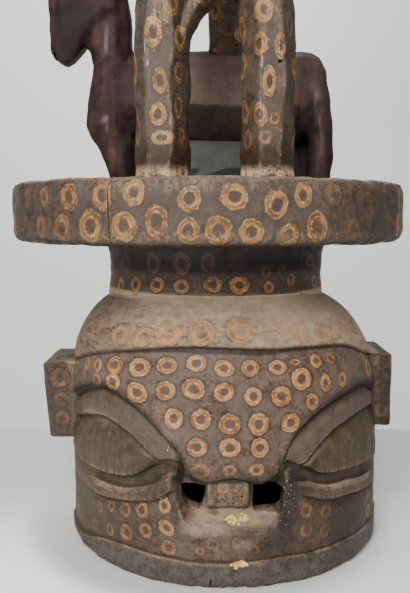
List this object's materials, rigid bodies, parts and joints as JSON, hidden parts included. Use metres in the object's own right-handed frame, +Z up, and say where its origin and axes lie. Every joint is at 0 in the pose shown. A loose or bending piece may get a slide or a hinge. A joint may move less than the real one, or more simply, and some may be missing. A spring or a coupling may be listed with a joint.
{
  "type": "yoruba epa mask",
  "caption": "Carved wooden helmet mask: a pot with a broad face and lookout holes, a cap, a neck and a round platform that carries a leopard standing over an antelope.",
  "frame": {"origin": "middle of the whole part's box, at the underside of the rim, which is the platform's centre brought down to the ground", "axes": "+Z up, -Y the way the face looks, +X to the right of someone who faces the mask"},
  "size_m": [0.377, 0.377, 0.7069],
  "materials": {
    "painted_wood": "hand-carved hardwood under worn dark grey-brown paint with ochre ring spots, the antelope dark red-brown"
  },
  "bodies": {
    "root": {"epa_mask": "painted_wood"}
  },
  "joints": []
}
